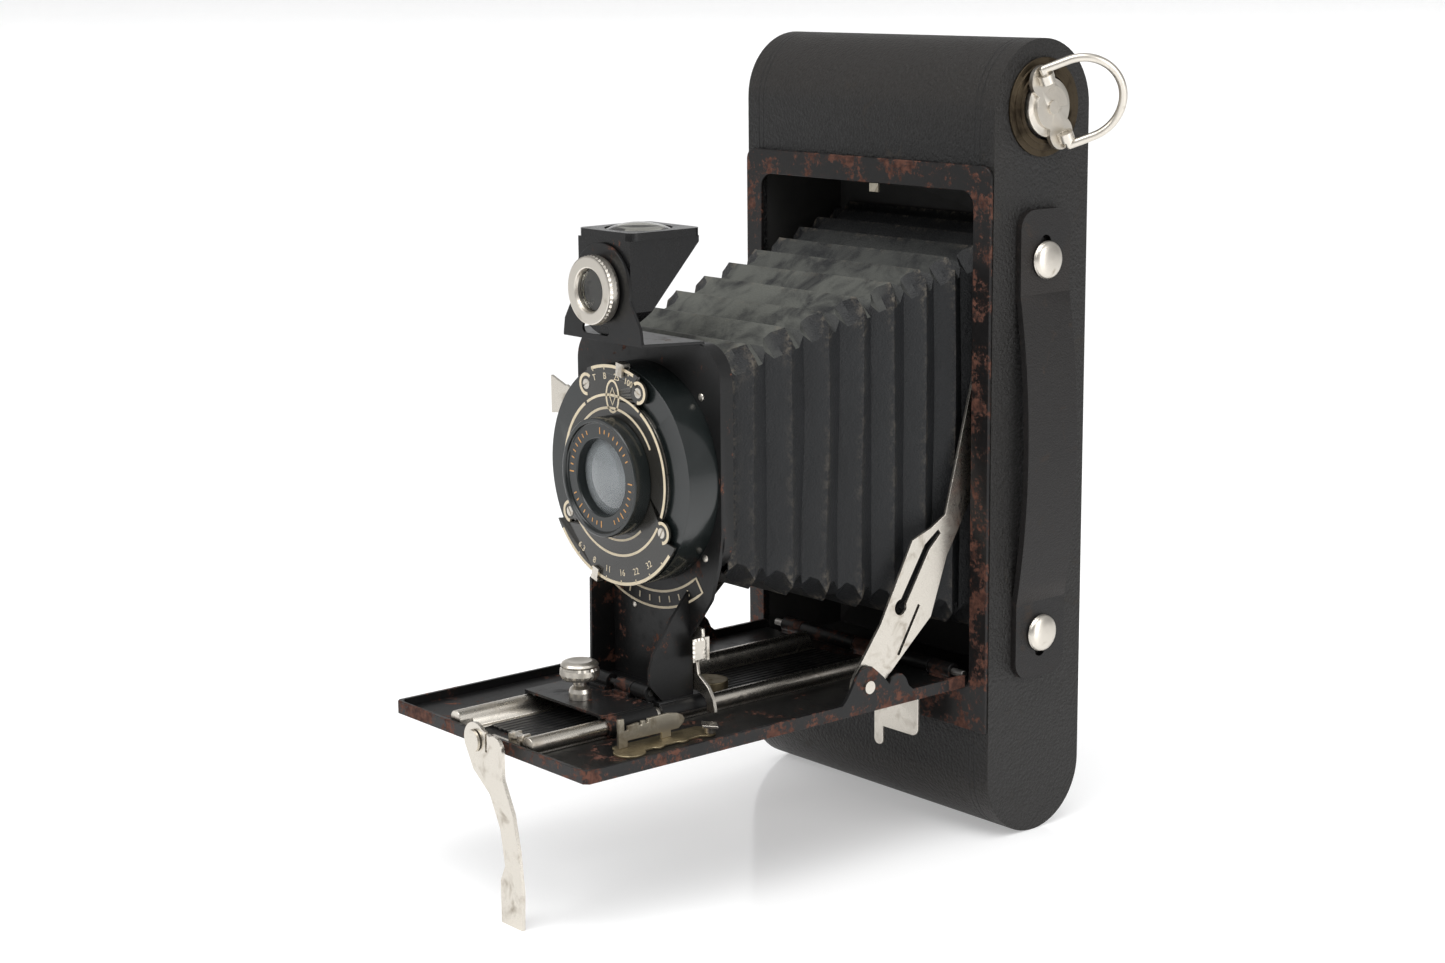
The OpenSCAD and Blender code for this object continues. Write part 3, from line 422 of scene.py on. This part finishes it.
def settle(obj, body, material, smooth=math.radians(35)):
    """Gives a finished piece its material, its body and its smooth shading."""
    obj.data.materials.clear()
    obj.data.materials.append(material)
    for face in obj.data.polygons:
        face.use_smooth = True
    obj.data.set_sharp_from_angle(angle=smooth)
    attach(obj, body)
    return obj


def from_bmesh(bm, name):
    mesh = bpy.data.meshes.new(name)
    bm.normal_update()
    bm.to_mesh(mesh)
    bm.free()
    obj = bpy.data.objects.new(name, mesh)
    bpy.context.scene.collection.objects.link(obj)
    return obj


def softened(node, radius):
    """A copy of a CAD node with its flat faces merged and its edges rounded, shown in its place."""
    bm = bmesh.new()
    bm.from_mesh(frame["nodes"][node].data)
    bmesh.ops.remove_doubles(bm, verts=bm.verts, dist=WELD)
    bmesh.ops.dissolve_limit(bm, angle_limit=FLAT_ANGLE, verts=bm.verts, edges=bm.edges)
    obj = from_bmesh(bm, node + ".look")
    bevel = obj.modifiers.new("edges", "BEVEL")
    bevel.width = radius * MM
    bevel.segments = 2
    bevel.limit_method = "ANGLE"
    bevel.angle_limit = EDGE_ANGLE
    bevel.use_clamp_overlap = True
    slot = SLOT_OF[node]
    settle(obj, BODY_OF[node], SPECIAL.get(node, MATERIALS[slot]))
    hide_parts(node)
    return obj


def across(axis):
    """Two directions at right angles to an axis and to each other."""
    helper = Vector((0, 0, 1)) if abs(axis.z) < 0.9 else Vector((1, 0, 0))
    side = axis.cross(helper).normalized()
    return side, side.cross(axis).normalized()


def bridge(bm, a, b):
    """Joins two closed rings of as many points with a band of faces."""
    for i in range(len(a)):
        k = (i + 1) % len(a)
        bm.faces.new((a[i], a[k], b[k], b[i]))


def lathe(bm, profile, center, axis, steps):
    """Turns a closed outline of (along, radius) points about an axis through center."""
    side, up = across(axis)
    rings = []
    for i in range(steps):
        a = 2 * math.pi * i / steps
        out = side * math.cos(a) + up * math.sin(a)
        rings.append([bm.verts.new(center + axis * d * MM + out * r * MM) for d, r in profile])
    count = len(profile)
    for i in range(steps):
        ring, after = rings[i], rings[(i + 1) % steps]
        for j in range(count):
            k = (j + 1) % count
            bm.faces.new((ring[j], ring[k], after[k], after[j]))


def knurl(bm, center, axis, radius, start, end, teeth, rows, depth):
    """A band of diamond knurling: raised and sunk points alternate round and along it."""
    side, up = across(axis)
    grid = []
    for j in range(rows + 1):
        row = []
        along = start + (end - start) * j / rows
        rim = j in (0, rows)
        for i in range(2 * teeth):
            a = math.pi * i / teeth
            lift = depth if (i + j) % 2 and not rim else 0
            out = side * math.cos(a) + up * math.sin(a)
            row.append(bm.verts.new(center + axis * along * MM + out * (radius - depth + lift) * MM))
        grid.append(row)
    for a, b in zip(grid, grid[1:]):
        bridge(bm, a, b)
    return grid


def carry_on(bm, ring, profile, center, axis):
    """Carries a knurled band's end through (along, radius) and returns the last ring."""
    last = ring
    for along, radius in profile:
        now = []
        for v in ring:
            out = v.co - center
            out -= axis * out.dot(axis)
            now.append(bm.verts.new(center + axis * along * MM + out.normalized() * radius * MM))
        bridge(bm, last, now)
        last = now
    return last


def dial_point(angle, radius):
    """A point on the dial, its angle in degrees clockwise from the top as seen from the front."""
    a = math.radians(angle)
    return Vector((radius * MM * math.sin(a), DIAL_Y, LENS_Z + radius * MM * math.cos(a)))


def ribbon(bm, points, width, height, closed=False):
    """A raised line through points that face -Y, width and height in millimetres."""
    face = Vector((0, -1, 0))
    count = len(points)
    rails = []
    for i, p in enumerate(points):
        before = points[i - 1] if i or closed else p
        after = points[(i + 1) % count] if i < count - 1 or closed else p
        along = (after - before).normalized()
        side = along.cross(face) * width * MM / 2
        lift = face * height * MM
        rails.append([bm.verts.new(q) for q in (p - side, p - side + lift, p + side + lift, p + side)])
    spans = range(count if closed else count - 1)
    for i in spans:
        a, b = rails[i], rails[(i + 1) % count]
        for j in range(4):
            bm.faces.new((a[j], a[(j + 1) % 4], b[(j + 1) % 4], b[j]))
    if not closed:
        bm.faces.new(rails[0])
        bm.faces.new(rails[-1][::-1])


def arc(radius, start, end, center=(0.0, 0.0)):
    """Points of an arc on the dial; center is (angle, radius) of its own middle."""
    steps = max(6, int(abs(end - start) / 3))
    mid = dial_point(*center)
    angles = [math.radians(start + (end - start) * i / steps) for i in range(steps + 1)]
    return [mid + Vector((math.sin(a), 0, math.cos(a))) * radius * MM for a in angles]


def words(name, text, size, angle, radius, turn=0.0):
    """Plain dial figures in cream paint, standing on an arc round the lens axis."""
    curve = bpy.data.curves.new(name, "FONT")
    curve.body = text
    curve.size = size * MM
    curve.align_x = "CENTER"
    curve.align_y = "CENTER"
    curve.extrude = 0.03 * MM
    curve.resolution_u = 3
    text_obj = bpy.data.objects.new(name, curve)
    bpy.context.scene.collection.objects.link(text_obj)
    bpy.context.view_layer.update()
    mesh = bpy.data.meshes.new_from_object(text_obj)
    bpy.data.objects.remove(text_obj)
    spin = Matrix.Rotation(math.radians(angle + turn), 4, "Y")
    place = dial_point(angle, radius)
    place.y = DIAL_Y - 0.02 * MM
    mesh.transform(Matrix.Translation(place) @ spin @ Matrix.Rotation(math.radians(90), 4, "X"))
    obj = bpy.data.objects.new(name, mesh)
    bpy.context.scene.collection.objects.link(obj)
    return settle(obj, "standard", CREAM)


# ---------- the CAD pieces, softened ----------

EDGE = {
    "body_case": 0.5, "back_cover": 0.3, "front_frame": 0.25, "strap": 0.45, "bed_tray": 0.22,
    "shutter_case": 0.7, "strap_studs": 0.35, "lens_barrel": 0.3, "finder_body": 0.4,
    "winding_key": 0.25, "stand_leg": 0.2, "track_rails": 0.15,
}
SMALL_EDGE = 0.12
BUILT_HERE = {"bellows", "carriage_knob", "finder_bezel"}
for node_name in frame["nodes"]:
    if node_name not in BUILT_HERE:
        softened(node_name, EDGE.get(node_name, SMALL_EDGE))


# ---------- bellows ----------

FOLDS = 11
FOLD_DEPTH = 2.8
FOLD_CROWD = 1.31
SKIN = 0.5
SIDE_STEPS = 14
CORNER_STEPS = 5
HALF_WIDTH = (29.2, 10.2)
HALF_HEIGHT = (29.5, 28)
MIDDLE_RISE = (3.1, 1.1)
RIPPLE = 0.34


def bellows_section(u, inset, corner):
    """One closed ring of the bellows at share u of its length, with corners cut back by corner.

    Each half size is its value at the front and its growth to the rear, where the middle is lower."""
    low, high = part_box("bellows")
    y = low.y + (high.y - low.y) * (1 - (1 - u) ** FOLD_CROWD)
    t = (y - low.y) / (high.y - low.y)
    w = (HALF_WIDTH[0] + HALF_WIDTH[1] * t) - inset
    h = (HALF_HEIGHT[0] + HALF_HEIGHT[1] * t) - inset
    mid = LENS_Z / MM + MIDDLE_RISE[0] - MIDDLE_RISE[1] * t
    corners = []
    for sx, sz in ((1, -1), (1, 1), (-1, 1), (-1, -1)):
        a = Vector((sx * w, 0, sz * (h - corner)))
        b = Vector((sx * (w - corner), 0, sz * h))
        corners.append((a, b) if sx * sz > 0 else (b, a))
    points = []
    for k in range(4):
        start, end = corners[k]
        after = corners[(k + 1) % 4][0]
        for i in range(CORNER_STEPS):
            points.append(start.lerp(end, i / CORNER_STEPS))
        for i in range(SIDE_STEPS):
            points.append(end.lerp(after, i / SIDE_STEPS))
    return [Vector((p.x * MM, y, (p.z + mid) * MM)) for p in points]


def build_bellows():
    """Pleats with creased flanks: narrow ridges and valleys, and corners that fold in on each other."""
    bm = bmesh.new()
    rings = []
    per_fold = 6
    for k in range(FOLDS * per_fold + 1):
        phase = (k % per_fold) / per_fold
        ridge = 1 - abs(2 * phase - 1)
        crease = ridge ** 0.9
        inset = FOLD_DEPTH * (1 - crease)
        corner = 1.2 + 4.2 * (1 - abs(2 * ridge - 1)) + 1.6 * ridge
        rings.append(bellows_section(k / (FOLDS * per_fold), inset, corner))
    rng = random.Random(11)
    sag = [[rng.uniform(-1, 1) for _ in range(5)] for _ in rings]
    outer = []
    for k, ring in enumerate(rings):
        count = len(ring)
        row = []
        for i, p in enumerate(ring):
            a = 2 * math.pi * i / count
            wave = sum(sag[k // per_fold * per_fold][n] * math.sin((n + 2) * a + n) for n in range(5))
            free = min(1.0, k / per_fold, (len(rings) - 1 - k) / per_fold)
            row.append(bm.verts.new(p + Vector((0, RIPPLE * wave * free * MM, 0))))
        outer.append(row)
    for a, b in zip(outer, outer[1:]):
        for i in range(len(a)):
            j = (i + 1) % len(a)
            bm.faces.new((a[i], b[i], b[j], a[j]))
    bmesh.ops.recalc_face_normals(bm, faces=bm.faces)
    obj = from_bmesh(bm, "bellows.look")
    thick = obj.modifiers.new("skin", "SOLIDIFY")
    thick.thickness = SKIN * MM
    thick.offset = -1
    bpy.context.view_layer.update()
    mesh = bpy.data.meshes.new_from_object(obj.evaluated_get(bpy.context.evaluated_depsgraph_get()))
    obj.modifiers.clear()
    obj.data = mesh
    settle(obj, "body", MATERIALS["bellows_leather"], math.radians(24))
    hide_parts("bellows")
    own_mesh(obj)


build_bellows()


# ---------- knurled parts ----------


def build_knob():
    """The carriage's knob: a knurled band, a slightly dished crown and a waisted foot."""
    low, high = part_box("carriage_knob")
    center = Vector(((low.x + high.x) / 2, (low.y + high.y) / 2, low.z))
    up = Vector((0, 0, 1))
    bm = bmesh.new()
    top = (high.z - low.z) / MM
    grid = knurl(bm, center, up, 5.1, top - 4.2, top - 1.5, 22, 4, 0.4)
    crown = [
        (top - 1.0, 4.85), (top - 0.45, 4.5), (top - 0.1, 3.9),
        (top, 3.2), (top - 0.25, 1.4), (top - 0.3, 0.5),
    ]
    foot = [
        (top - 4.7, 4.4), (top - 5.0, 3.0), (top - 5.2, 1.8), (top - 6.4, 1.7),
        (top - 7.2, 2.6), (top - 8.2, 2.9), (1.66, 2.9), (1.66, 1.98), (0, 1.98),
    ]
    bm.faces.new(carry_on(bm, grid[-1], crown, center, up))
    bm.faces.new(carry_on(bm, grid[0], foot, center, up))
    bmesh.ops.recalc_face_normals(bm, faces=bm.faces)
    obj = settle(from_bmesh(bm, "carriage_knob.look"), "knob", SATIN_NICKEL, math.radians(12))
    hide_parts("carriage_knob")


def build_bezel():
    """The finder's knurled ring, open in the middle."""
    low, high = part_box("finder_bezel")
    center = (low + high) / 2
    center.y = low.y
    back = Vector((0, 1, 0))
    depth = (high.y - low.y) / MM
    bm = bmesh.new()
    grid = knurl(bm, center, back, 8.8, 0.4, depth - 0.3, 44, 4, 0.32)
    front = [(0.1, 8.5), (0, 8.2), (0, 5.9), (0.15, 5.6), (0.8, 5.3), (depth, 5.25), (depth, 8.3)]
    bridge(bm, carry_on(bm, grid[0], front, center, back), grid[-1])
    bmesh.ops.recalc_face_normals(bm, faces=bm.faces)
    obj = settle(from_bmesh(bm, "finder_bezel.look"), "finder", SATIN_NICKEL, math.radians(12))
    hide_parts("finder_bezel")


PAD_X = 19.6
PAD_Y = (-21.4, -16.9)
PAD_Z = (16.3, 22.3)
PAD_POINT, PAD_VALLEY = 0.26, 0.04


def build_pads():
    """The diamond-cut finger pads on the outer faces of the two grips."""
    rows, columns = 10, 8
    for side, node in ((1, "grip_right"), (-1, "grip_left")):
        face = PAD_X * MM * side
        bm = bmesh.new()
        grid = []
        for j in range(rows + 1):
            z = (PAD_Z[0] + (PAD_Z[1] - PAD_Z[0]) * j / rows) * MM
            row = []
            for i in range(columns + 1):
                y = (PAD_Y[0] + (PAD_Y[1] - PAD_Y[0]) * i / columns) * MM
                rim = i in (0, columns) or j in (0, rows)
                lift = 0.0 if rim else (PAD_POINT if (i + j) % 2 else PAD_VALLEY) * MM
                row.append(bm.verts.new((face + side * lift, y, z)))
            grid.append(row)
        for j in range(rows):
            for i in range(columns):
                bm.faces.new((grid[j][i], grid[j][i + 1], grid[j + 1][i + 1], grid[j + 1][i]))
        bmesh.ops.recalc_face_normals(bm, faces=bm.faces)
        if (bm.faces[:][0].normal.x > 0) != (side > 0):
            bmesh.ops.reverse_faces(bm, faces=bm.faces)
        settle(from_bmesh(bm, f"{node}_pad"), BODY_OF[node], SATIN_NICKEL, math.radians(5))


build_knob()
build_bezel()
build_pads()


# ---------- dial ----------

LINE = 0.8
LINE_H = 0.06
TICK = 0.3
WAIST_R, RIM_R = 20.5, 27.8
TICK_R = (26.9, 27.6)
EAR_R = 2.5
UPPER_ARC_R, LOWER_ARC_R = 17.2, 16.6
EMBLEM_AT = (0, 20.2)
EMBLEM_SIZE = (2.5, 4.0)
DIAMOND_SIZE = (1.2, 2.2)
PLATE_R = (31.4, 35.6)
SPEED_R, STOP_R = 25.2, 25.0
SPEEDS = (("T", -17), ("B", -7), ("25", 4), ("100", 15))
STOPS = ("6.3", "8", "11", "16", "22", "32")


def dial_lines():
    """The cream outline of the dial, its inner arcs, the plain emblem and the ticks."""
    bm = bmesh.new()
    ribbon(bm, arc(WAIST_R, 33, 113), LINE, LINE_H)
    ribbon(bm, arc(WAIST_R, -113, -34), LINE, LINE_H)
    ribbon(bm, arc(WAIST_R, -31, 31), LINE * 0.8, LINE_H)
    ribbon(bm, arc(UPPER_ARC_R, -60, 60), LINE * 0.8, LINE_H)
    ribbon(bm, arc(WAIST_R, 122, 238), LINE * 0.8, LINE_H)
    ribbon(bm, arc(LOWER_ARC_R, 140, 220), LINE * 0.7, LINE_H)
    ribbon(bm, arc(RIM_R, -18, 18), LINE, LINE_H)
    ribbon(bm, arc(RIM_R, 128, 232), LINE, LINE_H)
    for angle, radius, start, sweep in (
        (25, 24.6, -35, 225), (-26, 24.6, 35, -225), (122, 22.4, -25, 200), (-123, 22.4, 25, -200),
    ):
        ribbon(bm, arc(EAR_R, start, start + sweep, (angle, radius)), LINE, LINE_H)
    middle = dial_point(*EMBLEM_AT)
    emblem, diamond = [], []
    for i in range(36):
        a = 2 * math.pi * i / 36
        emblem.append(middle + Vector((EMBLEM_SIZE[0] * math.cos(a), 0, EMBLEM_SIZE[1] * math.sin(a))) * MM)
    ribbon(bm, emblem, LINE * 0.7, LINE_H, True)
    for x, z in ((0, 1), (1, 0), (0, -1), (-1, 0)):
        diamond.append(middle + Vector((DIAMOND_SIZE[0] * x, 0, DIAMOND_SIZE[1] * z)) * MM)
    ribbon(bm, diamond, TICK, LINE_H, True)
    for angle in [-17, -7, 4, 14] + [214 - i * 13 for i in range(7)]:
        ribbon(bm, [dial_point(angle, r) for r in TICK_R], TICK, LINE_H)
    settle(from_bmesh(bm, "dial_lines"), "standard", CREAM)


def lens_ring_marks():
    """A broken row of gilt ticks on the lens's front ring."""
    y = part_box("lens_barrel")[0].y + 0.8 * MM - 0.02 * MM
    bm = bmesh.new()
    for i in range(40):
        angle = i * 9
        if i % 10 in (8, 9):
            continue
        length = 1.7 if i % 5 == 0 else 1.1
        a, b = dial_point(angle, 12.0 - length / 2), dial_point(angle, 12.0 + length / 2)
        a.y = b.y = y
        ribbon(bm, [a, b], 0.32, 0.03)
    settle(from_bmesh(bm, "lens_ring_marks"), "standard", GOLD)


def nameplate():
    """The cream outline of the arc plate under the dial, with plain ticks and no lettering."""
    bm = bmesh.new()
    y = PANEL_Y - 0.02 * MM
    outline = arc(PLATE_R[0], 143, 217) + arc(PLATE_R[1], 217, 143)
    for p in outline:
        p.y = y
    ribbon(bm, outline, 0.6, 0.12, True)
    for i in range(9):
        angle = 152 + i * 7
        a, b = dial_point(angle, 32.7), dial_point(angle, 34.3)
        a.y = b.y = y
        ribbon(bm, [a, b], 0.45, 0.08)
    settle(from_bmesh(bm, "nameplate_lines"), "standard", CREAM)


dial_lines()
lens_ring_marks()
nameplate()
for mark, (label, angle) in enumerate(SPEEDS):
    words(f"speed_figure_{mark}", label, 2.3, angle, SPEED_R)
for mark, label in enumerate(STOPS):
    words(f"stop_figure_{mark}", label, 2.4, 214 - mark * 13.5, STOP_R, 180)


# ---------- small screws and rivets ----------


def dome(name, center, axis, radius, height, body):
    """A domed rivet or screw head standing on a surface."""
    bm = bmesh.new()
    pole = 0.001
    profile = [(0, pole), (0, radius)]
    profile += [
        (height * math.sin(a), radius * math.cos(a) ** 0.8)
        for a in [math.pi / 2 * i / 6 for i in range(1, 6)]
    ]
    profile.append((height, pole))
    lathe(bm, profile, center, axis, 28)
    bmesh.ops.recalc_face_normals(bm, faces=bm.faces)
    return settle(from_bmesh(bm, name), body, SATIN_NICKEL)


FORWARD, SIDEWAYS = Vector((0, -1, 0)), Vector((1, 0, 0))
PANEL_SCREWS = ((-21.6, 21.4), (21.6, 21.4), (-22.6, -19.4), (22.6, -19.4))
PANEL_RIVETS = ((-6.5, -36.6), (11.5, -37.5))
for i, (x, z) in enumerate(PANEL_SCREWS):
    dome(f"panel_screw_{i}", Vector((x * MM, PANEL_Y, LENS_Z + z * MM)), FORWARD, 1.0, 0.35, "standard")
for i, (x, z) in enumerate(PANEL_RIVETS):
    dome(f"panel_rivet_{i}", Vector((x * MM, PANEL_Y, LENS_Z + z * MM)), FORWARD, 0.9, 0.3, "standard")
stud_low, stud_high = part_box("strap_studs")
stud_x, stud_y = stud_high.x - 0.75 * MM, (stud_low.y + stud_high.y) / 2
for i, z in enumerate((stud_low.z + 5 * MM, stud_high.z - 5 * MM)):
    dome(f"strap_stud_dome_{i}", Vector((stud_x, stud_y, z)), SIDEWAYS, 4.95, 1.5, "body")


# ---------- stage ----------

SIDE_LIGHT, TOP_LIGHT = 0.34, 0.5


def build_stage():
    """A floor that curves up into a backdrop on the far side of the object."""
    low, _ = CAD_BOX
    z = low[2]
    bm = bmesh.new()
    rows = []
    back = Vector((-0.767, 0.641, 0))
    side = Vector((0.641, 0.767, 0))
    near, depth, rise, half_width = 2.5, 6.0, 3.0, 9
    flat_share, curved_share = 0.6, 0.4
    count = 40
    for i in range(count):
        t = i / (count - 1)
        if t < flat_share:
            along, up = -near + t / flat_share * (depth + near), 0.0
        else:
            a = (t - flat_share) / curved_share * math.pi / 2
            along, up = depth + rise * math.sin(a), rise * (1 - math.cos(a))
        start = back * along
        ends = [start + side * s + Vector((0, 0, z + up)) for s in (-half_width, half_width)]
        rows.append([bm.verts.new(p) for p in ends])
    for a, b in zip(rows, rows[1:]):
        bm.faces.new((a[0], a[1], b[1], b[0]))
    bmesh.ops.recalc_face_normals(bm, faces=bm.faces)
    floor = from_bmesh(bm, "floor")
    floor.data.materials.append(pale_floor("floor_white"))
    for face in floor.data.polygons:
        face.use_smooth = True


def softbox(name, place, target, width, height, power):
    """A white rectangular light at place, aimed at target."""
    light = bpy.data.lights.new(name, "AREA")
    light.shape = "RECTANGLE"
    light.size, light.size_y = width, height
    light.energy = power
    obj = bpy.data.objects.new(name, light)
    obj.location = place
    obj.rotation_euler = (Vector(target) - Vector(place)).to_track_quat("-Z", "Y").to_euler()
    bpy.context.scene.collection.objects.link(obj)


def build_lights():
    """Plain studio light: a room that is brighter overhead, and three softboxes."""
    world = bpy.data.worlds.new("studio")
    world.use_nodes = True
    nodes, links = world.node_tree.nodes, world.node_tree.links
    direction = nodes.new("ShaderNodeTexCoord").outputs["Generated"]
    split = nodes.new("ShaderNodeSeparateXYZ")
    height = nodes.new("ShaderNodeMapRange")
    height.interpolation_type = "SMOOTHSTEP"
    height.inputs["From Min"].default_value = -0.1
    height.inputs["From Max"].default_value = 0.75
    height.inputs["To Min"].default_value = SIDE_LIGHT
    height.inputs["To Max"].default_value = TOP_LIGHT
    nodes["Background"].inputs["Color"].default_value = (1.0, 1.0, 1.0, 1.0)
    links.new(direction, split.inputs["Vector"])
    links.new(split.outputs["Z"], height.inputs["Value"])
    links.new(height.outputs["Result"], nodes["Background"].inputs["Strength"])
    bpy.context.scene.world = world
    middle = (0, 0.02, 0.06)
    softbox("key_light", (0.35, -0.35, 1.25), middle, 0.9, 0.9, 9)
    softbox("right_light", (1.35, 0.25, 0.45), middle, 0.8, 1.1, 7)
    softbox("left_light", (-0.25, -1.3, 1.1), middle, 0.9, 0.7, 8)


CAMERA_PLACE = (0.5146, -0.4249, 0.1926)
CAMERA_TURN = math.radians(50.11)
CAMERA_DROP = math.radians(11.47)
CAMERA_ROLL = math.radians(-0.52)
FOCAL = 65.2


def build_camera():
    sa, ca = math.sin(CAMERA_TURN), math.cos(CAMERA_TURN)
    se, ce = math.sin(CAMERA_DROP), math.cos(CAMERA_DROP)
    right = Vector((ca, sa, 0))
    up = Vector((-sa * se, ca * se, ce))
    back = Vector((sa * ce, -ca * ce, se))
    sr, cr = math.sin(CAMERA_ROLL), math.cos(CAMERA_ROLL)
    right, up = right * cr + up * sr, up * cr - right * sr
    data = bpy.data.cameras.new("camera")
    data.lens = FOCAL
    data.sensor_width = 36
    camera = bpy.data.objects.new("camera", data)
    turn = Matrix((right, up, back)).transposed().to_4x4()
    camera.matrix_world = Matrix.Translation(CAMERA_PLACE) @ turn
    bpy.context.scene.collection.objects.link(camera)
    bpy.context.scene.camera = camera


build_stage()
build_lights()
build_camera()
bpy.context.scene.view_settings.view_transform = "Standard"
